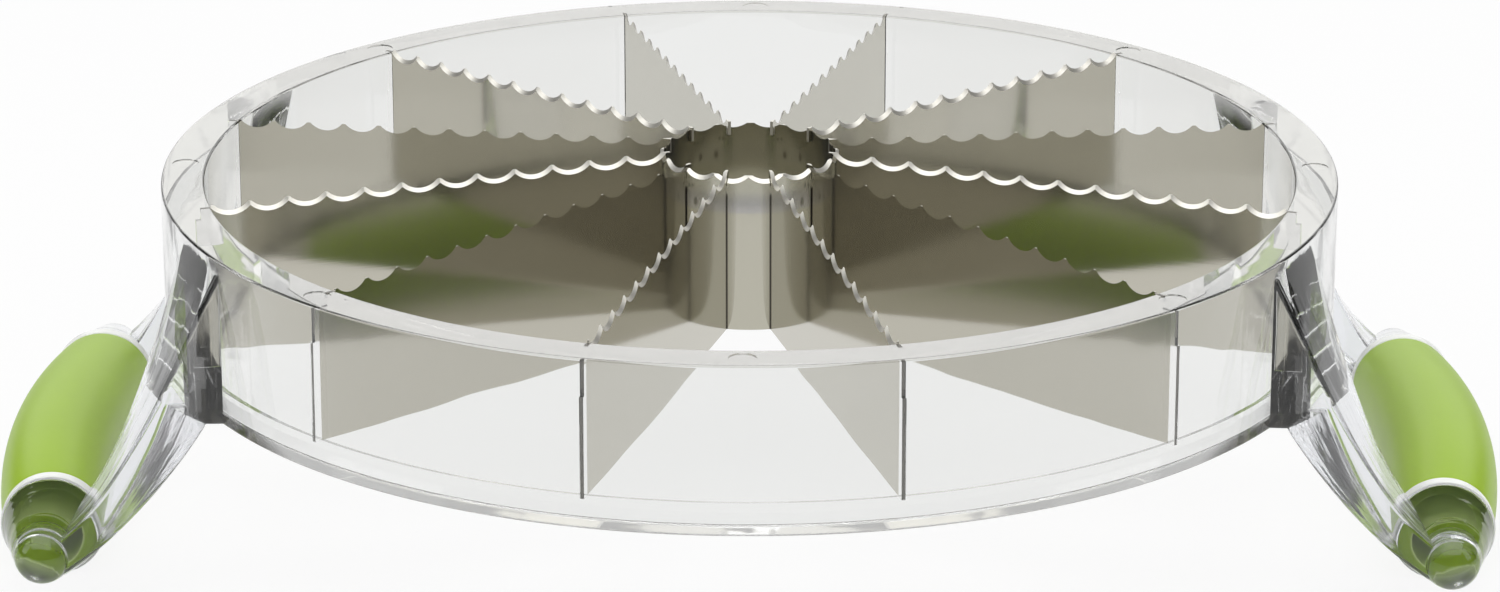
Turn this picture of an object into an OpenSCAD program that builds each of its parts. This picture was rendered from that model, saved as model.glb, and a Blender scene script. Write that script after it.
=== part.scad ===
// Melon slicer: a clear moulded ring holds serrated blades round a steel core ring,
// and two handle frames with soft grips stand out from it and carry it, teeth upwards.
// The ring's axis is Z, the grips lie along Y, and the lowest point is at height zero.

/* [Ring] */
// Outside radius of the clear ring
ring_r = 140; // [130:1:150]
// Radial thickness of the ring's wall
ring_wall = 10.2; // [8.6:0.2:13]
// Height of the ring
ring_h = 39.6; // [38:0.2:44]
// Rounding along the ring's edges
ring_edge_r = 0.9; // [0.4:0.1:1.6]
// How far the seat under the blades' ends stands in from the wall
seat_ledge = 0.8; // [0.4:0.1:1.6]
// Diameter of the round mould marks on the rim
mark_d = 6.4; // [4:0.2:7.6]
// Depth of the round mould marks
mark_depth = 0.2; // [0.1:0.05:0.4]
// Number of round mould marks
mark_count = 8; // [4:1:12]

/* [Blades] */
// Number of blades
blade_count = 12; // [8:1:14]
// Thickness of the steel
blade_t = 0.7; // [0.5:0.05:1]
// Height of a blade below the rim's top face
blade_h = 34.2; // [31:0.2:35.4]
// Height of the tooth line above the rim's top face where it leaves the wall
tooth_lift = 0.5; // [0.2:0.1:1.2]
// Rise of a blade's tooth line from the wall to the core
blade_rise = 4.4; // [2:0.2:7]
// Reach of a blade's end tab into the wall, above its step
tab_upper = 2.4; // [1.6:0.1:3]
// Extra reach of the tab below its step
tab_step = 1.2; // [0.6:0.1:1.8]
// Depth of the tab's step below the rim
step_drop = 10.6; // [8:0.2:14]
// Width of the catch notch above the step
catch_w = 0.8; // [0.4:0.1:1.2]
// Height of the catch notch
catch_h = 1.8; // [1:0.1:3]
// Clearance round the tab in its slot
slot_gap = 0.12; // [0.06:0.02:0.3]

/* [Teeth] */
// Number of scallops along a blade
tooth_count = 12; // [9:1:13]
// Depth of a scallop
tooth_depth = 1.8; // [1.2:0.1:2.6]
// Flat left on a tooth's tip
tooth_tip = 0.9; // [0.5:0.1:1.6]
// Width of the bevel ground round a scallop
bevel_w = 0.9; // [0.4:0.1:1.4]

/* [Core] */
// Outside radius of the steel core ring
core_r = 21.3; // [19:0.1:26]
// Thickness of the core ring's steel
core_t = 0.8; // [0.6:0.05:1.2]
// Height of the core ring's teeth above the rim's top face
core_rise = 4.1; // [2:0.1:5]
// Number of scallops round the core ring
core_tooth_count = 16; // [12:1:18]
// Depth of a scallop in the core ring
core_tooth_depth = 1; // [0.8:0.1:1.8]
// Reach of a blade's ear past the inside of the core ring
ear_reach = 0.9; // [0.5:0.1:1.6]
// Height of a blade's ear
ear_h = 3.4; // [2.8:0.1:5]

/* [Handle frames] */
// Distance of the grip's axis from the ring's outside wall
grip_offset = 23.1; // [21:0.1:28]
// Depth of the grip's axis below the rim's top face
grip_drop = 72.8; // [68:0.1:80]
// Width of an arm along the grip
arm_w = 21; // [17:0.5:24]
// Step from the rim's top face down to the top of an arm
arm_top_gap = 2; // [1.2:0.1:4]
// Toe of an arm's underside beyond the ring's wall
arm_toe = 3.6; // [2:0.1:5]
// Rounding along an arm's edges
arm_edge_r = 1.6; // [0.8:0.1:2.2]
// Step in from the collar to the rounded end at each corner of a handle frame
bulb_step = 0.5; // [0.3:0.1:1]
// Length of the rounded end
bulb_l = 25.4; // [24:0.2:30]
// Radius of the nose of the rounded end
bulb_nose_r = 6.6; // [5.4:0.1:8]
// Radius of the bar inside the grip
bar_r = 8; // [6.5:0.1:9.5]

/* [Grips] */
// Length of the green grip sleeve
grip_l = 96.4; // [88:0.2:102]
// Step in from the collar to the sleeve's end
sleeve_step = 0.1; // [0.05:0.05:0.5]
// How much the sleeve's radius swells towards its middle
grip_swell = 1.3; // [0.6:0.1:2.4]
// How far the sleeve's middle bows outwards
grip_bow = 3.3; // [2:0.1:6]
// Radius of the pale collar at each end of a grip
collar_r = 12.3; // [11.5:0.1:13.5]
// Length of the pale collar along the grip
collar_l = 3.2; // [2:0.1:4]
// Wall of the pale collar
collar_wall = 0.9; // [0.9:0.1:1.8]
// Rounding on the collar's rim
collar_edge_r = 0.4; // [0.2:0.1:0.7]
// Clearance of the sleeve on the bar and of the collars on their bosses
bar_gap = 0.05; // [0.02:0.01:0.15]

/* [Hidden] */
// Facets on the ring, on medium and small rounds and on the faceted sleeve
ring_fn = 180;
mid_fn = 96;
small_fn = 48;
sleeve_fn = 30;
sleeve_steps = 18;
edge_steps = 14;
nose_steps = 10;
// Overrun of every cut past the face that it opens
over = 1;
// Small offset that keeps an arm's faces off the rounded end's base and the ring's wall
bite = 0.3;

// Heights above the lowest point, which is the collars' underside
grip_z = collar_r;
rim_z = grip_z + grip_drop;
ring_z = rim_z - ring_h;
seat_z = rim_z - blade_h;
step_z = rim_z - step_drop;
tooth_z = rim_z + tooth_lift + blade_rise;

// Radii and pitches that follow the driving sizes
rim_in_r = ring_r - ring_wall;
rim_mid_r = ring_r - ring_wall / 2;
core_in_r = core_r - core_t;
blade_run = rim_in_r - core_r;
tooth_pitch = blade_run / tooth_count;
tooth_r = scallop_r(tooth_pitch, tooth_depth, tooth_tip);
core_pitch = 2 * core_r * sin(180 / core_tooth_count);
core_tooth_r = scallop_r(core_pitch, core_tooth_depth, tooth_tip);
blade_step_angle = 360 / blade_count;

// Radii that follow the collar's
bulb_r = collar_r - bulb_step;
grip_end_r = collar_r - sleeve_step;
boss_r = collar_r - collar_wall - bar_gap;

// Places of the grips and arms
grip_x = ring_r + grip_offset;
arm_back_y = grip_l / 2 + collar_l;
arm_front_y = arm_back_y + arm_w;
arm_start_y = arm_back_y + bite;

// Shares of an arm edge's run and drop at its two middle control points
outer_edge_shares = [[0.26, 0.34], [0.60, 0.80]];
lower_edge_shares = [[0.19, 0.31], [0.61, 0.81]];
// Shares of the rounded end's radius that the arm keeps at its back and front
back_end_share = 0.97;
front_end_share = 0.60;
// Directions, seen along the grip, in which the arm's edges meet the rounded end
outer_meet_angle = 135;
lower_meet_angle = 260;

BLADES = [for (k = [1 : blade_count]) str("blade_", k < 10 ? "0" : "", k)];

// Radius of the arc that leaves a scallop of this depth and a flat tip between scallops
function scallop_r(pitch, depth, tip) = (pow((pitch - tip) / 2, 2) + depth * depth) / (2 * depth);

// Point of a cubic curve from a to b, with its control points at shares of the run and drop
function edge_point(a, b, shares, t) =
    let (run = b - a,
         c = a + [run.x * shares[0].x, run.y * shares[0].y],
         d = a + [run.x * shares[1].x, run.y * shares[1].y])
    pow(1 - t, 3) * a + 3 * t * pow(1 - t, 2) * c + 3 * t * t * (1 - t) * d + pow(t, 3) * b;

// Unit vector to the left of the curve's direction of travel
function edge_left(a, b, shares, t) =
    let (e = 0.5 / edge_steps,
         v = edge_point(a, b, shares, min(t + e, 1)) - edge_point(a, b, shares, max(t - e, 0)))
    [-v.y, v.x] / norm(v);

// Where the ring's outside wall stands at this distance along the grip
function wall_x(y) = sqrt(ring_r * ring_r - y * y);

// An arm's outline, seen along the grip, at distance y, drawn in by the given inset
function arm_outline(y, inset) =
    let (share = (y - arm_back_y) / arm_w,
         end_r = bulb_r * (back_end_share + (front_end_share - back_end_share) * share),
         centre = [grip_x, grip_z],
         top = [wall_x(y) - bite, rim_z - arm_top_gap],
         toe = [wall_x(y) + arm_toe, ring_z],
         top_end = centre + end_r * [cos(outer_meet_angle), sin(outer_meet_angle)],
         toe_end = centre + end_r * [cos(lower_meet_angle), sin(lower_meet_angle)],
         root_x = wall_x(y) - ring_wall / 2)
    concat(
        [[root_x, top.y - inset]],
        [for (i = [0 : edge_steps])
            let (t = i / edge_steps)
            edge_point(top, top_end, outer_edge_shares, t)
            - inset * edge_left(top, top_end, outer_edge_shares, t)],
        [centre],
        [for (i = [edge_steps : -1 : 0])
            let (t = i / edge_steps)
            edge_point(toe, toe_end, lower_edge_shares, t)
            + inset * edge_left(toe, toe_end, lower_edge_shares, t)],
        [[root_x, toe.y + inset]]);

// Closed skin through a list of sections that have the same number of points. A section's
// points run there and back, so its cap is a ladder of small faces between the two runs
module skin(sections) {
    n = len(sections[0]);
    last = len(sections) - 1;
    points = [for (s = sections) for (p = s) p];
    sides = [for (k = [0 : last - 1]) for (i = [0 : n - 1])
        let (j = (i + 1) % n, a = k * n, b = a + n)
        each [[a + i, b + j, a + j], [a + i, b + i, b + j]]];
    first_cap = [for (i = [0 : floor(n / 2) - 1])
        let (j = n - 1 - i)
        if (i + 1 < j) i + 2 < j ? [i, i + 1, j - 1, j] : [i, i + 1, j]];
    last_cap = [for (f = first_cap) [for (k = [len(f) - 1 : -1 : 0]) last * n + f[k]]];
    polyhedron(points, concat(sides, first_cap, last_cap), convexity = 6);
}

// Rectangle with round corners, from the origin
module rounded_rect(w, h, r) {
    translate([r, 0]) square([w - 2 * r, h]);
    translate([0, r]) square([w, h - 2 * r]);
    for (x = [r, w - r], y = [r, h - r]) translate([x, y]) circle(r, $fn = small_fn);
}

// Tube about Z between two radii
module tube(outer_r, inner_r, h) {
    difference() {
        cylinder(r = outer_r, h = h, $fn = ring_fn);
        translate([0, 0, -over]) cylinder(r = inner_r, h = h + 2 * over, $fn = ring_fn);
    }
}

// Ring
module blade_slot() {
    w = blade_t + 2 * slot_gap;
    upper = tab_upper + slot_gap;
    lower = upper + tab_step;
    translate([rim_in_r - over, -w / 2, seat_z]) cube([over + upper, w, blade_h + over]);
    translate([rim_in_r - over, -w / 2, seat_z]) cube([over + lower, w, step_z - seat_z + slot_gap]);
}

module ring_frame() {
    color([0.90, 0.93, 0.92, 0.45])
    difference() {
        translate([0, 0, ring_z]) rotate_extrude($fn = ring_fn) {
            translate([rim_in_r, 0]) rounded_rect(ring_wall, ring_h, ring_edge_r);
            translate([rim_in_r - seat_ledge, 0]) square([ring_wall / 2, seat_z - ring_z]);
        }
        for (k = [0 : blade_count - 1]) rotate([0, 0, (k + 0.5) * blade_step_angle]) blade_slot();
        for (k = [0 : mark_count - 1]) rotate([0, 0, k * 360 / mark_count])
            translate([rim_mid_r, 0, rim_z - mark_depth])
                cylinder(d = mark_d, h = mark_depth + over, $fn = small_fn);
    }
}

// Blades
// A wheel's cut across the steel, wider on the ground side
module scallop_cut(r, t, bevel) {
    slope = bevel / t;
    translate([0, 0, -over])
        cylinder(r1 = r - slope * over, r2 = r + bevel + slope * over, h = t + 2 * over, $fn = mid_fn);
}

module blade_blank() {
    tab = rim_in_r + tab_upper;
    catch_x = tab - catch_w;
    ear_x = core_in_r - ear_reach;
    ear_z = tooth_z - ear_h;
    translate([0, blade_t / 2, 0]) rotate([90, 0, 0]) linear_extrude(blade_t) polygon([
        [core_r, seat_z],
        [tab + tab_step, seat_z], [tab + tab_step, step_z],
        [catch_x, step_z], [catch_x, step_z + catch_h],
        [tab, step_z + catch_h], [tab, rim_z],
        [rim_in_r, rim_z], [rim_in_r, rim_z + tooth_lift], [core_r, tooth_z],
        [ear_x, tooth_z], [ear_x, ear_z], [core_r, ear_z]]);
}

module blade() {
    slope = blade_rise / blade_run;
    color("silver")
    difference() {
        blade_blank();
        for (i = [0 : tooth_count - 1]) {
            run = (i + 0.5) * tooth_pitch;
            translate([core_r + run, blade_t / 2, tooth_z - slope * run + tooth_r - tooth_depth])
                rotate([90, 0, 0]) scallop_cut(tooth_r, blade_t, bevel_w);
        }
    }
}

// Blades stand in pairs whose ground sides face each other
module blade_at(k) {
    rotate([0, 0, (k + 0.5) * blade_step_angle]) mirror([0, (k + 1) % 2, 0]) blade();
}

// Core ring
module core_ring() {
    notch_w = blade_t + 2 * slot_gap;
    top_z = rim_z + core_rise;
    notch_z = tooth_z - ear_h - slot_gap;
    color("gainsboro")
    difference() {
        translate([0, 0, seat_z]) tube(core_r, core_in_r, top_z - seat_z);
        for (k = [0 : core_tooth_count - 1]) rotate([0, 0, (k + 0.5) * 360 / core_tooth_count])
            translate([core_in_r, 0, top_z + core_tooth_r - core_tooth_depth])
                rotate([0, 90, 0]) scallop_cut(core_tooth_r, core_t, bevel_w);
        for (k = [0 : blade_count - 1]) rotate([0, 0, (k + 0.5) * blade_step_angle])
            translate([core_in_r - over, -notch_w / 2, notch_z])
                cube([core_t + 2 * over, notch_w, top_z - notch_z + over]);
    }
}

// Handle frames
// Rounded end: a straight taper that runs into a round nose
module bulb_profile() {
    nose_at = bulb_l - bulb_nose_r;
    meet_angle = acos(bulb_nose_r / norm([bulb_r, nose_at])) - atan2(nose_at, bulb_r);
    polygon(concat(
        [[0, 0], [bulb_r, 0]],
        [for (i = [0 : nose_steps])
            let (a = meet_angle + (90 - meet_angle) * i / nose_steps)
            [i == nose_steps ? 0 : bulb_nose_r * cos(a), nose_at + bulb_nose_r * sin(a)]]));
}

module bulb() {
    translate([grip_x, arm_back_y, grip_z]) rotate([-90, 0, 0]) rotate_extrude($fn = mid_fn) bulb_profile();
}

// Round step between the rounded end and the bar, which carries the collar
module boss() {
    translate([grip_x, grip_l / 2, grip_z]) rotate([-90, 0, 0])
        cylinder(r = boss_r, h = collar_l + bite, $fn = ring_fn);
}

module arm() {
    // Distances along the grip, each with how far the outline is drawn in there
    back = [for (a = [0 : 30 : 90]) [arm_start_y + arm_edge_r * (1 - cos(a)), arm_edge_r * (1 - sin(a))]];
    front = [for (a = [90 : -30 : 0]) [arm_front_y - arm_edge_r * (1 - cos(a)), arm_edge_r * (1 - sin(a))]];
    skin([for (f = concat(back, front))
        [for (p = arm_outline(f.x, f.y)) [p.x, f.x, p.y]]]);
}

module handle_frame() {
    color([0.88, 0.92, 0.90, 0.5])
    difference() {
        union() {
            for (m = [0, 1]) mirror([0, m, 0]) {
                arm();
                bulb();
                boss();
            }
            translate([grip_x, -arm_back_y - over, grip_z]) rotate([-90, 0, 0])
                cylinder(r = bar_r, h = 2 * (arm_back_y + over), $fn = ring_fn);
        }
        cylinder(r = ring_r, h = rim_z + over, $fn = ring_fn);
    }
}

// Grips
module grip() {
    half = grip_l / 2;
    color([0.65, 0.79, 0.36])
    difference() {
        skin([for (i = [0 : sleeve_steps])
            let (s = 2 * i / sleeve_steps - 1,
                 swell = 1 - s * s,
                 r = grip_end_r + grip_swell * swell,
                 x = grip_x + grip_bow * swell,
                 z = grip_z + grip_swell * swell)
            [for (k = [0 : sleeve_fn - 1])
                let (a = -360 * k / sleeve_fn)
                [x + r * cos(a), s * half, z + r * sin(a)]]]);
        translate([grip_x, -half - over, grip_z]) rotate([-90, 0, 0])
            cylinder(r = bar_r + bar_gap, h = grip_l + 2 * over, $fn = ring_fn);
    }
}

module collar() {
    color([0.95, 0.95, 0.92])
    translate([grip_x, grip_l / 2, grip_z]) rotate([-90, 0, 0]) rotate_extrude($fn = ring_fn)
        translate([collar_r - collar_wall, 0]) difference() {
            square([collar_wall, collar_l]);
            translate([collar_wall, 0]) rim_round();
            translate([collar_wall, collar_l]) mirror([0, 1]) rim_round();
        }
}

// Corner left outside a quarter round, at the origin
module rim_round() {
    difference() {
        translate([-collar_edge_r, -over]) square([collar_edge_r + over, collar_edge_r + over]);
        translate([-collar_edge_r, collar_edge_r]) circle(collar_edge_r, $fn = small_fn);
    }
}

ring_frame();
core_ring();
for (k = [0 : blade_count - 1]) blade_at(k);
handle_frame();  // right_handle_frame
mirror([1, 0, 0]) handle_frame();  // left_handle_frame
grip();  // right_grip
mirror([1, 0, 0]) grip();  // left_grip
mirror([0, 1, 0]) collar();  // right_front_collar
collar();  // right_rear_collar
mirror([1, 0, 0]) mirror([0, 1, 0]) collar();  // left_front_collar
mirror([1, 0, 0]) collar();  // left_rear_collar
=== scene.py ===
"""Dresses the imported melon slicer: clear frame, steel blades, core ring, soft grips, collars and stage."""

import math

import bmesh
import bpy
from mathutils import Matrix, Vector


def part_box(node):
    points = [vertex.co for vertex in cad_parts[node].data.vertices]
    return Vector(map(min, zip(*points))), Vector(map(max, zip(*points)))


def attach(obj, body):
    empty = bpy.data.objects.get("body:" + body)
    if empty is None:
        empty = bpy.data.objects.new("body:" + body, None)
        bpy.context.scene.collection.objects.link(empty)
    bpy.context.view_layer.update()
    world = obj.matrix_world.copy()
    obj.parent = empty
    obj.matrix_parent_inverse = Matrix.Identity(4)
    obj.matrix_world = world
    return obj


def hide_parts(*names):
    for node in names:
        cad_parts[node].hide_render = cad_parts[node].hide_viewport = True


bl_info = {
    "name": "Melon Slicer",
    "version": (1, 0, 0),
    "blender": (4, 5, 0),
    "location": "3D View > Sidebar > Melon Slicer",
    "description": "Finishes and stage for a push-down melon slicer with a clear frame",
    "category": "Object",
}

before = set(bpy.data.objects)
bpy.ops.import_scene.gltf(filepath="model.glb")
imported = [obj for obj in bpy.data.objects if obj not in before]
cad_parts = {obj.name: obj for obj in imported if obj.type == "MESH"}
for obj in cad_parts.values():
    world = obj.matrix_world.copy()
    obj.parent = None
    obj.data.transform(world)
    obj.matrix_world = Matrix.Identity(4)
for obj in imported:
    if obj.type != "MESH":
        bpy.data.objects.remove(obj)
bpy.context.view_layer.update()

MM = 0.001
BLADES = sorted(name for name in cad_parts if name.startswith("blade_"))
COLLARS = sorted(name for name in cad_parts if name.endswith("_collar"))

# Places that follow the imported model
RING_LOW, RING_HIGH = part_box("ring_frame")
RIM_Z = RING_HIGH.z
RING_Z = RING_LOW.z
RING_RADIUS = RING_HIGH.x
COLLAR_LOW, COLLAR_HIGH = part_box("right_rear_collar")
GRIP_X = (COLLAR_LOW.x + COLLAR_HIGH.x) / 2
GRIP_Z = (COLLAR_LOW.z + COLLAR_HIGH.z) / 2
COLLAR_RADIUS = (COLLAR_HIGH.x - COLLAR_LOW.x) / 2
SLEEVE_HALF = COLLAR_LOW.y
ARM_BACK_Y = COLLAR_HIGH.y
BULB_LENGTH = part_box("right_handle_frame")[1].y - ARM_BACK_Y
CORE_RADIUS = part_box("core_ring")[1].x
CORE_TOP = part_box("core_ring")[1].z
SEAT_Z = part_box("blade_01")[0].z
# Hair of air between the clear moulding and the steel and collars, or of bite into the soft rubber
HAIR = 0.06 * MM

# Facets round the ring, and its turn in degrees that keeps its corners off the slots
RING_FACETS, RING_TURN = 360, 0.25
# Facets round a mould mark and round the grip's axis
MARK_FACETS, GRIP_FACETS = 48, 128
# Steps along a round edge, a nose and an arm's edge
ROUND_STEPS, NOSE_STEPS, EDGE_STEPS = 6, 24, 40
# Number of round mould marks on the rim
MARKS = 8
# Bevel at the back of a rounded end, and the arms' set-back beside it
BACK_BEVEL = 0.3 * MM
# Where the arc of a nose stops, in degrees, so that it ends in a small flat
NOSE_END = 87
# Shares of an arm edge's run and drop at its two middle control points
OUTER_EDGE_SHARES = ((0.26, 0.34), (0.60, 0.80))
LOWER_EDGE_SHARES = ((0.19, 0.31), (0.61, 0.81))
# An arm's end round the grip's axis: its radius as a share of the rounded end's, and what the share loses
# over the arm's width
ARM_END_SHARE, ARM_END_TAPER = 0.97, 0.43
# Where an arm's outer and lower edges meet that end, in degrees
ARM_END_ANGLES = (135, 260)

# Fineness per metre of the flow streaks in the arms and of the rolled streaks in the steel
FLOW_ALONG, FLOW_ACROSS = 40, 280
ROLLED_ALONG, ROLLED_ACROSS = 60, 2600
# Light that passes straight through the arms: all over, in the streaks, and the gain towards the rim
ARM_EVEN, ARM_STREAKED, ARM_UPPER = 0.4, 1.4, 1.5
STEEL_METALLIC = 0.94
# Weld marks on the core ring: distance from a blade's seam, depth below the teeth, and width
WELD_MARKS = (
    (1.4 * MM, 4.4 * MM, 0.3 * MM),
    (2.4 * MM, 4.2 * MM, 0.3 * MM),
    (3.3 * MM, 8.1 * MM, 0.6 * MM),
)
# Height of a weld mark as a share of its width
WELD_HEIGHT = 1.8

# Each lamp's name, place, width and depth, and the setting that holds its power
LAMPS = (
    ("top_light", (0, -0.3, 1.5), (2.4, 2), "key_power"),
    ("back_light", (0, 1.9, 0.8), (3, 1.2), "back_power"),
    ("left_light", (-1.5, -0.4, 0.9), (0.8, 1.2), "side_power"),
    ("right_light", (1.5, -0.4, 0.9), (0.8, 1.2), "side_power"),
)


class ClearFrameSettings(bpy.types.PropertyGroup):
    """Sizes and finish of the clear moulding."""

    ring_wall: bpy.props.FloatProperty(
        name="Ring wall", description="Radial thickness of the clear ring",
        default=10.2 * MM, min=6 * MM, max=16 * MM, unit="LENGTH"
    )
    edge_round: bpy.props.FloatProperty(
        name="Edge rounding", description="Rounding along the ring's edges",
        default=0.6 * MM, min=0.2 * MM, max=2 * MM, unit="LENGTH"
    )
    seat_ledge: bpy.props.FloatProperty(
        name="Seat ledge", description="How far the seat under the blades stands in",
        default=0.8 * MM, min=0.2 * MM, max=2 * MM, unit="LENGTH"
    )
    mark_diameter: bpy.props.FloatProperty(
        name="Mould mark", description="Diameter of the round mould marks on the rim",
        default=6.4 * MM, min=3 * MM, max=8 * MM, unit="LENGTH"
    )
    mark_depth: bpy.props.FloatProperty(
        name="Mark depth", description="Depth of the round mould marks",
        default=0.2 * MM, min=0.05 * MM, max=0.5 * MM, unit="LENGTH"
    )
    slot_width: bpy.props.FloatProperty(
        name="Slot width", description="Width of the slot round a blade's tab",
        default=0.94 * MM, min=0.5 * MM, max=2 * MM, unit="LENGTH"
    )
    slot_depth: bpy.props.FloatProperty(
        name="Slot depth", description="Depth of the slot above its step",
        default=2.52 * MM, min=1 * MM, max=4 * MM, unit="LENGTH"
    )
    slot_step: bpy.props.FloatProperty(
        name="Slot step", description="Extra depth of the slot below its step",
        default=1.2 * MM, min=0, max=3 * MM, unit="LENGTH"
    )
    step_drop: bpy.props.FloatProperty(
        name="Step drop", description="Depth of the slot's step below the rim",
        default=10.48 * MM, min=5 * MM, max=20 * MM, unit="LENGTH"
    )
    arm_width: bpy.props.FloatProperty(
        name="Arm width", description="Width of an arm along the grip",
        default=21 * MM, min=15 * MM, max=26 * MM, unit="LENGTH"
    )
    arm_round: bpy.props.FloatProperty(
        name="Arm rounding", description="Rounding along an arm's edges",
        default=1.1 * MM, min=0.5 * MM, max=3 * MM, unit="LENGTH"
    )
    arm_gap: bpy.props.FloatProperty(
        name="Arm top gap", description="Step from the rim down to the top of an arm",
        default=2 * MM, min=1 * MM, max=4 * MM, unit="LENGTH"
    )
    arm_toe: bpy.props.FloatProperty(
        name="Arm toe", description="Toe of an arm's underside beyond the ring",
        default=3.6 * MM, min=1 * MM, max=6 * MM, unit="LENGTH"
    )
    bulb_step: bpy.props.FloatProperty(
        name="Bulb step", description="Step in from the collar to the rounded end",
        default=0.5 * MM, min=0.2 * MM, max=1 * MM, unit="LENGTH"
    )
    nose_radius: bpy.props.FloatProperty(
        name="Nose radius", description="Radius of the nose of the rounded end",
        default=6.6 * MM, min=4 * MM, max=9 * MM, unit="LENGTH"
    )
    boss_radius: bpy.props.FloatProperty(
        name="Boss radius", description="Radius of the step that carries a collar",
        default=11.35 * MM, min=9 * MM, max=12 * MM, unit="LENGTH"
    )
    bar_radius: bpy.props.FloatProperty(
        name="Bar radius", description="Radius of the bar inside the grip",
        default=8 * MM, min=5 * MM, max=10 * MM, unit="LENGTH"
    )
    tint: bpy.props.FloatVectorProperty(
        name="Tint", description="Colour of the clear plastic",
        default=(0.855, 0.86, 0.85, 1), size=4, min=0, max=1, subtype="COLOR"
    )
    # Painted shade: a darker tint for the ring's top face and underside, which stands for how they look
    # under the lamps, not for a colour of the plastic
    rim_shade_tint: bpy.props.FloatVectorProperty(
        name="Rim tint", description="Colour of the clear plastic at the ring's top and underside",
        default=(0.5, 0.493, 0.455, 1), size=4, min=0, max=1, subtype="COLOR"
    )
    arm_tint: bpy.props.FloatVectorProperty(
        name="Arm tint", description="Colour of the clear plastic in the arms and rounded ends",
        default=(0.82, 0.835, 0.86, 1), size=4, min=0, max=1, subtype="COLOR"
    )
    refraction: bpy.props.FloatProperty(
        name="Refraction", description="Index of refraction of the plastic",
        default=1.53, min=1.3, max=1.7
    )
    arm_body: bpy.props.FloatProperty(
        name="Arm body", description="Share of the light that the arms bend and tint",
        default=0.91, min=0.3, max=1, subtype="FACTOR"
    )
    foot_body: bpy.props.FloatProperty(
        name="Foot body", description="Share of the light that the ring's underside bends and tints",
        default=0.5, min=0.1, max=1, subtype="FACTOR"
    )


class SteelSettings(bpy.types.PropertyGroup):
    """Finish of the blades and the core ring."""

    colour: bpy.props.FloatVectorProperty(
        name="Steel", description="Colour of the bare steel",
        default=(0.53, 0.51, 0.44, 1), size=4, min=0, max=1, subtype="COLOR"
    )
    core: bpy.props.FloatVectorProperty(
        name="Core steel", description="Colour of the core ring's steel",
        default=(0.485, 0.47, 0.395, 1), size=4, min=0, max=1, subtype="COLOR"
    )
    heat_tint: bpy.props.FloatVectorProperty(
        name="Heat tint", description="Colour of the steel beside the welds",
        default=(0.4, 0.395, 0.42, 1), size=4, min=0, max=1, subtype="COLOR"
    )
    ground: bpy.props.FloatVectorProperty(
        name="Ground steel", description="Colour of the ground edges and bevels",
        default=(0.74, 0.72, 0.66, 1), size=4, min=0, max=1, subtype="COLOR"
    )
    # Painted shade: the dark colour in the seams where the blades meet the core ring
    seam_shade: bpy.props.FloatVectorProperty(
        name="Seam shade", description="Colour of the seams between the blades and the core ring",
        default=(0.11, 0.1, 0.085, 1), size=4, min=0, max=1, subtype="COLOR"
    )
    # Painted shade: a dark colour for the blades' outer ends in the ring's slots, which stands for the shade
    # there
    shade_painted: bpy.props.FloatVectorProperty(
        name="Slot shade", description="Colour of the sheared ends in the ring's slots",
        default=(0.2, 0.19, 0.17, 1), size=4, min=0, max=1, subtype="COLOR"
    )
    weld: bpy.props.FloatVectorProperty(
        name="Weld", description="Colour of the small weld marks on the core ring",
        default=(0.14, 0.13, 0.09, 1), size=4, min=0, max=1, subtype="COLOR"
    )
    roughness: bpy.props.FloatProperty(
        name="Roughness", description="Roughness of the rolled steel", default=0.085, min=0, max=1
    )
    ground_roughness: bpy.props.FloatProperty(
        name="Ground roughness", description="Roughness of the ground edges and bevels",
        default=0.42, min=0, max=1
    )


class GripSettings(bpy.types.PropertyGroup):
    """Shape and finish of the soft sleeves and their collars."""

    sleeve_step: bpy.props.FloatProperty(
        name="Sleeve step", description="Step in from the collar to the sleeve's end",
        default=0.1 * MM, min=0, max=1 * MM, unit="LENGTH"
    )
    swell: bpy.props.FloatProperty(
        name="Swell", description="How much the sleeve swells towards its middle",
        default=1.3 * MM, min=0, max=3 * MM, unit="LENGTH"
    )
    bow: bpy.props.FloatProperty(
        name="Bow", description="How far the sleeve's middle bows outwards",
        default=3.3 * MM, min=0, max=8 * MM, unit="LENGTH"
    )
    end_round: bpy.props.FloatProperty(
        name="End rounding", description="Rounding on the sleeve's ends",
        default=0.5 * MM, min=0.1 * MM, max=2 * MM, unit="LENGTH"
    )
    green: bpy.props.FloatVectorProperty(
        name="Green", description="Colour of the soft sleeve",
        default=(0.325, 0.51, 0.008, 1), size=4, min=0, max=1, subtype="COLOR"
    )
    # Painted light: a paler green for the sleeve's bore, which stands for light reaching it through the
    # clear plastic
    bore_painted_light: bpy.props.FloatVectorProperty(
        name="Bore green", description="Colour of the sleeve's bore under the clear plastic",
        default=(0.68, 0.82, 0.32, 1), size=4, min=0, max=1, subtype="COLOR"
    )
    pale: bpy.props.FloatVectorProperty(
        name="Pale", description="Colour of the collars",
        default=(0.86, 0.87, 0.84, 1), size=4, min=0, max=1, subtype="COLOR"
    )


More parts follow.
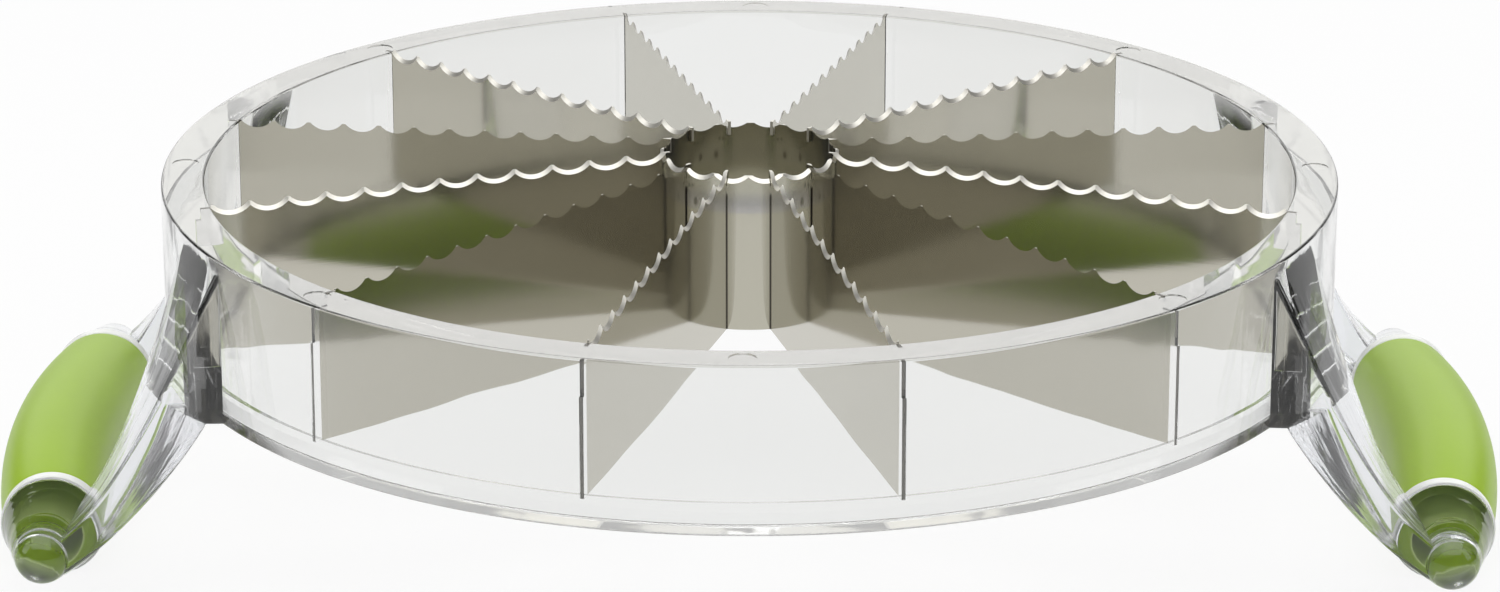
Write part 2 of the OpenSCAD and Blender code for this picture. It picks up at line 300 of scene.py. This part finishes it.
class StageSettings(bpy.types.PropertyGroup):
    """Floor, light and camera."""

    floor_colour: bpy.props.FloatVectorProperty(
        name="Floor", description="Colour of the floor",
        default=(0.82, 0.82, 0.82, 1), size=4, min=0, max=1, subtype="COLOR"
    )
    floor_size: bpy.props.FloatProperty(
        name="Floor size", description="Width of the floor",
        default=24, min=4, max=60, unit="LENGTH"
    )
    white_share: bpy.props.FloatProperty(
        name="White share", description="Share of plain white in the floor that the camera sees",
        default=0.9, min=0, max=1, subtype="FACTOR"
    )
    room_light: bpy.props.FloatProperty(
        name="Room light", description="Strength of the light from all round",
        default=0.44, min=0, max=2
    )
    key_power: bpy.props.FloatProperty(
        name="Top light", description="Power of the large lamp overhead",
        default=33, min=0, max=400, unit="POWER"
    )
    back_power: bpy.props.FloatProperty(
        name="Back light", description="Power of the wide lamp behind",
        default=16, min=0, max=400, unit="POWER"
    )
    side_power: bpy.props.FloatProperty(
        name="Side lights", description="Power of each lamp at the sides",
        default=6, min=0, max=400, unit="POWER"
    )
    lens: bpy.props.FloatProperty(
        name="Lens", description="Focal length of the camera in millimetres",
        default=134.66, min=20, max=300
    )
    camera_place: bpy.props.FloatVectorProperty(
        name="Camera", description="Camera's place from the middle of the rim",
        default=(0.01456, -1.27501, 0.41473), size=3, subtype="TRANSLATION"
    )
    camera_turn: bpy.props.FloatVectorProperty(
        name="Camera turn", description="Camera's rotation",
        default=(math.radians(70.646), 0, math.radians(0.65)), size=3, subtype="EULER"
    )


SETTINGS = {
    "slicer_clear": ClearFrameSettings,
    "slicer_steel": SteelSettings,
    "slicer_grips": GripSettings,
    "slicer_stage": StageSettings,
}


class Value:
    """A number that varies over a surface: an output socket, with sums written as Python expressions."""

    def __init__(self, shading, socket):
        self.shading = shading
        self.socket = socket

    def maths(self, operation, *others):
        inputs = dict(enumerate((self, *others)))
        return self.shading.add("ShaderNodeMath", {"operation": operation}, inputs)

    def __add__(self, other):
        return self.maths("ADD", other)

    def __sub__(self, other):
        return self.maths("SUBTRACT", other)

    def __rsub__(self, other):
        return self.maths("MULTIPLY", -1) + other

    def __mul__(self, other):
        return self.maths("MULTIPLY", other)

    def __truediv__(self, other):
        return self.maths("DIVIDE", other)

    def __pow__(self, other):
        return self.maths("POWER", other)

    def __abs__(self):
        return self.maths("ABSOLUTE")

    def least(self, other):
        return self.maths("MINIMUM", other)

    def rise(self, start, end):
        """Zero before start and one after end, with a smooth rise between them."""
        inputs = {"Value": self, "From Min": start, "From Max": end}
        return self.shading.add("ShaderNodeMapRange", {"interpolation_type": "SMOOTHSTEP"}, inputs)

    __radd__ = __add__
    __rmul__ = __mul__


class Shading:
    """A node tree that nodes are added to by type, settings and inputs."""

    def __init__(self, tree):
        self.tree = tree

    def add(self, kind, settings=None, inputs=None, output=0):
        node = self.tree.nodes.new(kind)
        for name, setting in (settings or {}).items():
            setattr(node, name, setting)
        for name, value in (inputs or {}).items():
            self.feed(node, name, value)
        return Value(self, self.pick(node.outputs, output))

    def pick(self, sockets, name):
        """The socket with this number, identifier or name."""
        if isinstance(name, int):
            return sockets[name]
        usable = (socket for socket in sockets if socket.enabled)
        return next(socket for socket in usable if name in (socket.identifier, socket.name))

    def feed(self, node, name, value):
        """Links or sets a node's input."""
        socket = self.pick(node.inputs, name)
        if isinstance(value, Value):
            self.tree.links.new(value.socket, socket)
        else:
            socket.default_value = value

    def axes(self, vector):
        """A vector as three values."""
        return [self.add("ShaderNodeSeparateXYZ", None, {"Vector": vector}, axis) for axis in "XYZ"]

    def place(self):
        """The point on the object, in metres, as three values."""
        return self.axes(self.add("ShaderNodeTexCoord", output="Object"))

    def facing(self):
        """The way that the surface faces, as three values."""
        return self.axes(self.add("ShaderNodeNewGeometry", output="True Normal"))

    def vector(self, x, y, z):
        return self.add("ShaderNodeCombineXYZ", None, {"X": x, "Y": y, "Z": z})

    def noise(self, scale, detail, vector=None):
        """A soft random value from 0 to 1 that varies at this scale."""
        vector = vector or self.add("ShaderNodeTexCoord", output="Object")
        return self.add("ShaderNodeTexNoise", None, {"Vector": vector, "Scale": scale, "Detail": detail})

    def blend(self, mask, low, high):
        """Colour low where the mask is 0 and high where it is 1."""
        inputs = {"Factor_Float": mask, "A_Color": low, "B_Color": high}
        return self.add("ShaderNodeMix", {"data_type": "RGBA"}, inputs, "Result_Color")

    def bump(self, height, distance):
        return self.add("ShaderNodeBump", None, {"Height": height, "Distance": distance})


class Finish(Shading):
    """A material with one main surface, whose plain numbers and colours are set on its own sockets."""

    def __init__(self, name, **plain):
        self.material = bpy.data.materials.new(name)
        self.material.use_nodes = True
        super().__init__(self.material.node_tree)
        self.surface = self.tree.nodes["Principled BSDF"]
        for socket, value in plain.items():
            self.set(socket.replace("_", " ").title().replace("Ior", "IOR"), value)

    def set(self, socket, value):
        self.feed(self.surface, socket, value)


def distance(x, y):
    """How far a point is from where both values are zero."""
    return (x * x + y * y) ** 0.5


def deeper(colour, share):
    """The colour at a share of its brightness."""
    return [share * part for part in colour[:3]] + [1]


def dress(piece, finish):
    """Gives a piece one material over its whole surface."""
    piece.data.materials.clear()
    piece.data.materials.append(finish.material)


def finish_piece(piece, finish, slot, *nodes):
    """Dresses a new piece, ties it to the body and lets it stand for its nodes."""
    dress(piece, finish)
    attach(piece, "root")
    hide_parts(*nodes)


def skin(name, rings, looped=False):
    """A closed mesh over rings of points: capped at both ends, or looped back to its first ring."""
    count, last = len(rings[0]), len(rings) - 1
    faces = []
    for a in range(len(rings) if looped else last):
        b = (a + 1) % len(rings)
        for i in range(count):
            j = (i + 1) % count
            faces.append((a * count + i, a * count + j, b * count + j, b * count + i))
    if not looped:
        faces.append(tuple(range(count)))
        faces.append(tuple(range(last * count, last * count + count)))
    mesh = bpy.data.meshes.new(name)
    mesh.from_pydata([point for ring in rings for point in ring], [], faces)
    shape = bmesh.new()
    shape.from_mesh(mesh)
    bmesh.ops.recalc_face_normals(shape, faces=shape.faces)
    shape.to_mesh(mesh)
    shape.free()
    piece = bpy.data.objects.new(name, mesh)
    bpy.context.scene.collection.objects.link(piece)
    return piece


def combine(base, tools, operation):
    """Joins the tools to the base, or cuts them from it, and removes them."""
    for tool in tools:
        step = base.modifiers.new("Combine", "BOOLEAN")
        step.operation = operation
        step.solver = "MANIFOLD"
        step.object = tool
    graph = bpy.context.evaluated_depsgraph_get()
    mesh = bpy.data.meshes.new_from_object(base.evaluated_get(graph))
    base.modifiers.clear()
    base.data = mesh
    for tool in tools:
        bpy.data.objects.remove(tool)


def smooth(piece, angle):
    """Smooth shading up to this angle in degrees, with flat faces kept flat beside small roundings."""
    piece.data.shade_smooth()
    piece.data.set_sharp_from_angle(angle=math.radians(angle))
    weights = piece.modifiers.new("Flat faces", "WEIGHTED_NORMAL")
    weights.keep_sharp = True
    weights.weight = 100


def arc(start, end, steps):
    """Angles in radians from start to end in degrees."""
    return [math.radians(start + (end - start) * i / steps) for i in range(steps + 1)]


def circle(facets, turn=0):
    """Angles in radians of the corners of a regular outline, turned by an angle in degrees."""
    return arc(turn, turn + 360 - 360 / facets, facets - 1)


def around_z(radius, z, facets, turn=0):
    """A circle round the ring's axis."""
    return [(radius * math.cos(a), radius * math.sin(a), z) for a in circle(facets, turn)]


def along_grip(radius, y, side, shift=0, lift=0):
    """A circle round the grip's axis, on the right where side is 1 and on the left where it is -1."""
    x, z = GRIP_X + shift, GRIP_Z + lift
    return [(side * (x + radius * math.cos(a)), y, z + radius * math.sin(a)) for a in circle(GRIP_FACETS)]


def rounding(radius, steps=ROUND_STEPS):
    """A round edge as (run along the piece, step in from its side), from its end to its side."""
    return [(radius * (1 - math.cos(a)), radius * (1 - math.sin(a))) for a in arc(0, 90, steps)]


def block(name, low, high, turn):
    """A box from its corners, turned about Z."""
    corners = [(low[0], low[1]), (high[0], low[1]), (high[0], high[1]), (low[0], high[1])]
    cos, sin = math.cos(turn), math.sin(turn)
    turned = [(x * cos - y * sin, x * sin + y * cos) for x, y in corners]
    return skin(name, [[(x, y, z) for x, y in turned] for z in (low[2], high[2])])


def ring_profile(clear):
    """The ring's section as (radius, height) points, with round edges and the seat's ledge."""
    inner, r = RING_RADIUS - clear.ring_wall, clear.edge_round
    seat = inner - clear.seat_ledge
    corners = (
        (RING_RADIUS - r, RING_Z + r, -90, 0),
        (RING_RADIUS - r, RIM_Z - r, 0, 90),
        (inner + r, RIM_Z - r, 90, 180),
    )
    points = []
    for x, z, start, end in corners:
        points += [(x + r * math.cos(a), z + r * math.sin(a)) for a in arc(start, end, ROUND_STEPS)]
    foot = [(seat + run, RING_Z + step) for run, step in rounding(r)]
    return points + [(inner, SEAT_Z), (seat, SEAT_Z)] + foot


def edge_point(a, b, shares, t):
    """A point of the cubic curve from a to b, with its control points at shares of the run and drop."""
    run = b - a
    c, d = (a + Vector((run.x * share[0], run.y * share[1])) for share in shares)
    return (1 - t) ** 3 * a + 3 * t * (1 - t) ** 2 * c + 3 * t * t * (1 - t) * d + t**3 * b


def edge_points(a, b, shares, inset):
    """The curve's points, moved to its right by the inset."""
    points = []
    for i in range(EDGE_STEPS + 1):
        t, e = i / EDGE_STEPS, 0.5 / EDGE_STEPS
        way = edge_point(a, b, shares, min(t + e, 1)) - edge_point(a, b, shares, max(t - e, 0))
        points.append(edge_point(a, b, shares, t) - inset * Vector((-way.y, way.x)) / way.length)
    return points


def arm_section(clear, y, inset):
    """An arm's outline, seen along the grip, at distance y along it, drawn in by the inset."""
    share = (y - ARM_BACK_Y) / clear.arm_width
    end_radius = (COLLAR_RADIUS - clear.bulb_step) * (ARM_END_SHARE - ARM_END_TAPER * share)
    wall = math.sqrt(RING_RADIUS**2 - y * y)
    root = wall - clear.ring_wall / 2
    centre = Vector((GRIP_X, GRIP_Z))
    top = Vector((wall, RIM_Z - clear.arm_gap))
    toe = Vector((wall + clear.arm_toe, RING_Z))
    angles = [math.radians(angle) for angle in ARM_END_ANGLES]
    top_end, toe_end = (centre + end_radius * Vector((math.cos(a), math.sin(a))) for a in angles)
    outer = edge_points(top, top_end, OUTER_EDGE_SHARES, inset)
    lower = edge_points(toe, toe_end, LOWER_EDGE_SHARES, -inset)
    inner_top, inner_toe = Vector((root, top.y - inset)), Vector((root, toe.y + inset))
    return [(p.x, y, p.y) for p in (inner_top, *outer, centre, *reversed(lower), inner_toe)]


def arm(clear, side, end):
    """One arm: side picks left or right, and end picks front or rear."""
    r, spans = clear.arm_round, 6
    start, stop = ARM_BACK_Y + BACK_BEVEL, ARM_BACK_Y + clear.arm_width
    places = [(start + run, inset) for run, inset in rounding(r)]
    places += [(start + r + (stop - start - 2 * r) * i / spans, 0) for i in range(1, spans)]
    places += [(stop - run, inset) for run, inset in reversed(rounding(r))]
    sections = [arm_section(clear, *place) for place in places]
    return skin("arm", [[(side * x, end * y, z) for x, y, z in section] for section in sections])


def bulb(clear, side, end):
    """The rounded end of a handle frame: a straight taper that runs into a round nose."""
    radius, nose = COLLAR_RADIUS - clear.bulb_step, clear.nose_radius
    centre = BULB_LENGTH - nose
    meet = math.degrees(math.acos(nose / math.hypot(radius, centre)) - math.atan2(centre, radius))
    stations = [(radius - BACK_BEVEL, HAIR), (radius, BACK_BEVEL)]
    stations += [(nose * math.cos(a), centre + nose * math.sin(a)) for a in arc(meet, NOSE_END, NOSE_STEPS)]
    return skin("bulb", [along_grip(r, end * (ARM_BACK_Y + run), side) for r, run in stations])


def sleeve(grips, clear, side):
    """A soft sleeve that swells and bows outwards at its middle, with a bore for the bar."""
    # Steps along each round end, and spans between the two ends
    ends, spans = 5, 48
    r = grips.end_round
    bore, end_radius = clear.bar_radius - HAIR, COLLAR_RADIUS - grips.sleeve_step
    rings = [along_grip(bore, y, side) for y in (SLEEVE_HALF, -SLEEVE_HALF)]
    places = [(-SLEEVE_HALF + run, inset) for run, inset in rounding(r, ends)]
    places += [((-SLEEVE_HALF + r) * (1 - 2 * i / spans), 0) for i in range(1, spans)]
    places += [(-y, inset) for y, inset in places[ends::-1]]
    for y, inset in places:
        swell = 1 - (y / SLEEVE_HALF) ** 2
        radius = end_radius + grips.swell * swell - inset
        rings.append(along_grip(radius, y, side, grips.bow * swell, grips.swell * swell))
    return skin("sleeve", rings, looped=True)


def clear_plastic(clear):
    """Clear polished plastic with the faint unevenness of a moulding, which is stronger in the arms, and
    painted shade on the ring's top face and underside.
    """
    finish = Finish("clear_plastic", ior=clear.refraction, transmission_weight=0.99)
    x, y, z = finish.place()
    arms = distance(x, y).rise(RING_RADIUS + 1 * MM, RING_RADIUS + 5 * MM)
    rim = z.rise(RIM_Z - 0.5 * MM, RIM_Z - 0.3 * MM)
    upper = z.rise(RIM_Z - 40 * MM, RIM_Z - 15 * MM)
    # The ring's underside, apart from its stretches beside the arms
    underside = 1 - z.rise(RING_Z + 0.05 * MM, RING_Z + 0.3 * MM)
    foot = underside * (1 - abs(x).rise(100 * MM, 110 * MM))
    drawn_out = finish.vector(x * FLOW_ALONG, y * FLOW_ACROSS, z * FLOW_ALONG)
    flow = arms * finish.noise(scale=1, detail=2, vector=drawn_out).rise(0.35, 0.7)
    # Shares of the light that pass straight through
    arms_through = (1 - clear.arm_body) * (ARM_EVEN * arms + ARM_STREAKED * flow) * (1 + ARM_UPPER * upper)
    foot_through = (1 - clear.foot_body) * foot
    tint = finish.blend(arms, clear.tint, clear.arm_tint)
    # Painted shade: the ring's top face and underside take the darker rim tint
    finish.set("Base Color", finish.blend((rim + foot).least(1), tint, clear.rim_shade_tint))
    finish.set("Alpha", 1 - arms_through - foot_through)
    finish.set("Roughness", 0.012 + 0.03 * finish.noise(scale=90, detail=3))
    waves = finish.noise(scale=55, detail=1) * (1 + arms) + 0.7 * flow
    finish.set("Normal", finish.bump(waves, 0.15 * MM))
    return finish


def sheet_steel(steel, finish, along, up, squareness):
    """Mirror-bright sheet with fine streaks along one direction, and satin edges where it was ground."""
    drawn_out = finish.vector(along * ROLLED_ALONG, up * ROLLED_ACROSS, 0)
    streaks = finish.noise(scale=1, detail=3, vector=drawn_out)
    clouds = finish.noise(scale=38, detail=2)
    # Whatever doesn't face the way that the flat sheet does was ground
    ground = 1 - abs(squareness).rise(0.85, 0.97)
    bright = steel.roughness - 0.03 + 0.04 * streaks + 0.03 * clouds
    finish.set("Roughness", bright + ground * (steel.ground_roughness - steel.roughness))
    finish.set("Normal", finish.bump(streaks, 0.002 * MM))
    return clouds, ground


def blade_steel(steel, clear):
    """Steel of the blades: streaks run along them, bevels and tips are ground, and the outer ends in the
    slots and the seams at the core ring are painted dark as shade.
    """
    finish = Finish("blade_steel", metallic=STEEL_METALLIC)
    x, y, z = finish.place()
    nx, ny, _ = finish.facing()
    radius = distance(x, y)
    clouds, ground = sheet_steel(steel, finish, radius, z, (ny * x - nx * y) / radius)
    sheet = finish.blend(clouds, deeper(steel.colour, 0.95), steel.colour)
    inner = RING_RADIUS - clear.ring_wall
    # Painted shade: the outer ends in the ring's slots are coloured dark
    ends = radius.rise(inner, inner + 0.5 * MM)
    edges = finish.blend(ends, steel.ground, steel.shade_painted)
    # Painted shade: a dark seam where a blade meets the core ring, up to just below the rim
    seam = 1 - radius.rise(CORE_RADIUS + 0.2 * MM, CORE_RADIUS + 0.6 * MM)
    seam_shade = seam * (1 - z.rise(RIM_Z - 1 * MM, RIM_Z))
    finish.set("Base Color", finish.blend(seam_shade, finish.blend(ground, sheet, edges), steel.seam_shade))
    return finish


def core_steel(steel):
    """Steel of the core ring: upright streaks, a faint heat band under its teeth, small weld marks and
    painted shade at the seams.
    """
    finish = Finish("core_steel", metallic=STEEL_METALLIC)
    x, y, z = finish.place()
    nx, ny, _ = finish.facing()
    radius = distance(x, y)
    angle = y.maths("ARCTAN2", x)
    outward = (nx * x + ny * y) / radius
    clouds, ground = sheet_steel(steel, finish, z, angle * CORE_RADIUS, outward)
    # The heat band lies in patches under the teeth and is fainter inside the tube
    drop = CORE_TOP - z + 1.2 * MM * clouds
    band = drop.rise(3.5 * MM, 8 * MM) * (1 - drop.rise(9.4 * MM, 10.2 * MM))
    heat = band * clouds.rise(0.2, 0.7) * (0.25 + 0.75 * outward.rise(0, 1))
    # How far along the wall from a blade's seam, which lies a quarter of a pair of cells from the
    # pair's middle. The 12 whole pairs keep the fraction's input positive.
    pair = math.radians(720 / len(BLADES))
    middle = ((angle - math.pi / 2) / pair + (12 + 0.5)).maths("FRACT") - 0.5
    across = (abs(middle) - 0.25) * pair * CORE_RADIUS
    marks = None
    for offset, depth, width in WELD_MARKS:
        aside = (across - offset) / width
        above = (drop - depth) / (WELD_HEIGHT * width)
        mark = 1 - distance(aside, above).rise(0.4, 1.4)
        marks = mark if marks is None else marks + mark
    tinted = finish.blend(heat * 0.8, steel.core, steel.heat_tint)
    marked = finish.blend(marks.least(1) * 0.65, tinted, steel.weld)
    # Painted shade: dark seams where the blades meet the tube's outer wall, up to just below the rim
    seams = 1 - abs(across).rise(0.45 * MM, 0.75 * MM)
    seam_shade = seams * outward.rise(0, 0.5) * (1 - z.rise(RIM_Z - 1 * MM, RIM_Z))
    wall = finish.blend(ground, marked, steel.ground)
    finish.set("Base Color", finish.blend(seam_shade, wall, steel.seam_shade))
    return finish


def green_rubber(grips, clear):
    """Soft satin rubber in lime green with a very fine grain, with painted light: a paler green in the bore
    round the clear bar.
    """
    finish = Finish("green_grip", ior=1.5, specular_ior_level=0.45)
    clouds, grain = finish.noise(scale=60, detail=3), finish.noise(scale=2600, detail=2)
    x, y, z = finish.place()
    off_axis = distance(abs(x) - GRIP_X, z - GRIP_Z)
    # Painted light: the bore round the clear bar is coloured a paler green
    bore = 1 - off_axis.rise(clear.bar_radius, clear.bar_radius + 0.5 * MM)
    rubber = finish.blend(clouds, deeper(grips.green, 0.93), grips.green)
    finish.set("Base Color", finish.blend(bore, rubber, grips.bore_painted_light))
    finish.set("Roughness", 0.33 + 0.1 * grain)
    finish.set("Normal", finish.bump(grain, 0.012 * MM))
    return finish


def pale_plastic(grips):
    """Off-white moulded plastic with a soft gloss."""
    finish = Finish("pale_collar", ior=1.49)
    clouds = finish.noise(scale=140, detail=2)
    finish.set("Base Color", finish.blend(clouds, deeper(grips.pale, 0.96), grips.pale))
    finish.set("Roughness", 0.2 + 0.1 * clouds)
    return finish


class SLICER_OT_clear_frame(bpy.types.Operator):
    """Builds the clear ring with its handle frames as one moulding"""

    bl_idname = "slicer.clear_frame"
    bl_label = "Clear frame"

    def execute(self, context):
        clear = context.scene.slicer_clear
        inner, over = RING_RADIUS - clear.ring_wall, 1 * MM
        rings = [around_z(r, z, RING_FACETS, RING_TURN) for r, z in ring_profile(clear)]
        ring = skin("clear_frame", rings, looped=True)
        cuts = []
        half, step_z = clear.slot_width / 2, RIM_Z - clear.step_drop
        start, top = inner - over, RIM_Z + over
        upper = inner + clear.slot_depth
        lower = upper + clear.slot_step
        for k in range(len(BLADES)):
            turn = (k + 0.5) * 2 * math.pi / len(BLADES)
            cuts.append(block("slot", (start, -half, step_z - over), (upper, half, top), turn))
            cuts.append(block("slot", (start, -half, SEAT_Z - HAIR), (lower, half, step_z), turn))
        middle = (inner + RING_RADIUS) / 2
        for k in range(MARKS):
            turn = k * 2 * math.pi / MARKS
            x, y = middle * math.cos(turn), middle * math.sin(turn)
            heights = (RIM_Z - clear.mark_depth, top)
            rings = [around_z(clear.mark_diameter / 2, z, MARK_FACETS) for z in heights]
            cuts.append(skin("mark", [[(px + x, py + y, z) for px, py, z in points] for points in rings]))
        combine(ring, cuts, "DIFFERENCE")
        parts, reach = [], ARM_BACK_Y + over
        for side in (1, -1):
            for end in (1, -1):
                stops = (end * (SLEEVE_HALF - HAIR), end * reach)
                boss = skin("boss", [along_grip(clear.boss_radius, y, side) for y in stops])
                parts += [arm(clear, side, end), bulb(clear, side, end), boss]
            parts.append(skin("bar", [along_grip(clear.bar_radius, y, side) for y in (-reach, reach)]))
        combine(ring, parts, "UNION")
        smooth(ring, angle=32)
        nodes = ("ring_frame", "left_handle_frame", "right_handle_frame")
        finish_piece(ring, clear_plastic(clear), "clear_plastic", *nodes)
        return {"FINISHED"}


class SLICER_OT_blades(bpy.types.Operator):
    """Gives the blades their ground and rolled steel"""

    bl_idname = "slicer.blades"
    bl_label = "Blades"

    def execute(self, context):
        finish = blade_steel(context.scene.slicer_steel, context.scene.slicer_clear)
        for name in BLADES:
            dress(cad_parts[name], finish)
        return {"FINISHED"}


class SLICER_OT_core_ring(bpy.types.Operator):
    """Gives the core ring its steel, heat tint and weld marks"""

    bl_idname = "slicer.core_ring"
    bl_label = "Core ring"

    def execute(self, context):
        dress(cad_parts["core_ring"], core_steel(context.scene.slicer_steel))
        return {"FINISHED"}


class SLICER_OT_grips(bpy.types.Operator):
    """Builds the two smooth rubber sleeves"""

    bl_idname = "slicer.grips"
    bl_label = "Grips"

    def execute(self, context):
        grips, clear = context.scene.slicer_grips, context.scene.slicer_clear
        finish = green_rubber(grips, clear)
        for side, name in ((1, "right"), (-1, "left")):
            piece = sleeve(grips, clear, side)
            piece.name = f"{name}_sleeve"
            smooth(piece, angle=40)
            finish_piece(piece, finish, "green_grip", f"{name}_grip")
        return {"FINISHED"}


class SLICER_OT_collars(bpy.types.Operator):
    """Gives the collars their pale plastic"""

    bl_idname = "slicer.collars"
    bl_label = "Collars"

    def execute(self, context):
        finish = pale_plastic(context.scene.slicer_grips)
        for name in COLLARS:
            dress(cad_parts[name], finish)
        return {"FINISHED"}


def seen_white(shading, light):
    """This light for rays from the camera, from gloss and through glass, and none on the object."""
    kinds = ("Is Camera Ray", "Is Glossy Ray", "Is Transmission Ray")
    camera, gloss, glass = (shading.add("ShaderNodeLightPath", output=kind) for kind in kinds)
    return (camera + gloss + glass).least(1) * light


def lay_floor(stage):
    """A wide floor that looks almost white and still takes the object's shadow."""
    half = stage.floor_size / 2
    mesh = bpy.data.meshes.new("floor")
    corners = [(-half, -half, 0), (half, -half, 0), (half, half, 0), (-half, half, 0)]
    mesh.from_pydata(corners, [], [(0, 1, 2, 3)])
    floor = bpy.data.objects.new("floor", mesh)
    bpy.context.scene.collection.objects.link(floor)
    finish = Finish("floor", base_color=stage.floor_colour, roughness=0.9, specular_ior_level=0)
    white = finish.add("ShaderNodeEmission", None, {"Color": (1, 1, 1, 1), "Strength": 1})
    shown = Value(finish, finish.surface.outputs[0])
    inputs = {0: seen_white(finish, stage.white_share), 1: shown, 2: white}
    mixed = finish.add("ShaderNodeMixShader", None, inputs)
    finish.feed(finish.tree.nodes["Material Output"], "Surface", mixed)
    dress(floor, finish)


def light_room(stage):
    """Even light from all round, with a white look for the camera, gloss and glass."""
    world = bpy.data.worlds.new("studio")
    world.use_nodes = True
    bpy.context.scene.world = world
    shading = Shading(world.node_tree)
    background = world.node_tree.nodes["Background"]
    shading.feed(background, "Strength", stage.room_light + seen_white(shading, 1 - stage.room_light))


def lamp(name, place, size, power):
    """A soft rectangular lamp that points at the middle of the rim."""
    data = bpy.data.lights.new(name, "AREA")
    data.shape = "RECTANGLE"
    data.size, data.size_y = size
    data.energy = power
    piece = bpy.data.objects.new(name, data)
    piece.location = place
    way = Vector((0, 0, RIM_Z)) - Vector(place)
    piece.rotation_euler = way.to_track_quat("-Z", "Y").to_euler()
    piece.visible_camera = False
    bpy.context.scene.collection.objects.link(piece)


def set_camera(stage):
    """The camera at the photograph's viewing angle."""
    scene = bpy.context.scene
    data = bpy.data.cameras.new("camera")
    data.lens = stage.lens
    data.sensor_width = 36
    data.clip_end = 100
    camera = bpy.data.objects.new("camera", data)
    camera.location = Vector(stage.camera_place) + Vector((0, 0, RIM_Z))
    camera.rotation_euler = stage.camera_turn
    scene.collection.objects.link(camera)
    scene.camera = camera


class SLICER_OT_stage(bpy.types.Operator):
    """Sets the pale floor, the soft light and the camera"""

    bl_idname = "slicer.stage"
    bl_label = "Stage"

    def execute(self, context):
        stage = context.scene.slicer_stage
        lay_floor(stage)
        light_room(stage)
        for name, place, size, power in LAMPS:
            lamp(name, place, size, getattr(stage, power))
        set_camera(stage)
        context.scene.view_settings.view_transform = "Standard"
        return {"FINISHED"}


STEPS = (
    SLICER_OT_clear_frame,
    SLICER_OT_blades,
    SLICER_OT_core_ring,
    SLICER_OT_grips,
    SLICER_OT_collars,
    SLICER_OT_stage,
)


class SLICER_PT_steps(bpy.types.Panel):
    """Lists the steps that dress the slicer"""

    bl_idname = "SLICER_PT_steps"
    bl_label = "Melon Slicer"
    bl_space_type = "VIEW_3D"
    bl_region_type = "UI"
    bl_category = "Melon Slicer"

    def draw(self, context):
        for step in STEPS:
            self.layout.operator(step.bl_idname)
        for name in SETTINGS:
            settings = getattr(context.scene, name)
            box = self.layout.box()
            for key in settings.bl_rna.properties.keys():
                if key not in ("rna_type", "name"):
                    box.prop(settings, key)


def register():
    for name, group in SETTINGS.items():
        bpy.utils.register_class(group)
        setattr(bpy.types.Scene, name, bpy.props.PointerProperty(type=group))
    for step in STEPS:
        bpy.utils.register_class(step)
    bpy.utils.register_class(SLICER_PT_steps)


def unregister():
    bpy.utils.unregister_class(SLICER_PT_steps)
    for step in reversed(STEPS):
        bpy.utils.unregister_class(step)
    for name, group in reversed(SETTINGS.items()):
        delattr(bpy.types.Scene, name)
        bpy.utils.unregister_class(group)


def main():
    register()
    bpy.ops.slicer.clear_frame()
    bpy.ops.slicer.blades()
    bpy.ops.slicer.core_ring()
    bpy.ops.slicer.grips()
    bpy.ops.slicer.collars()
    bpy.ops.slicer.stage()


if __name__ == "__main__":
    main()
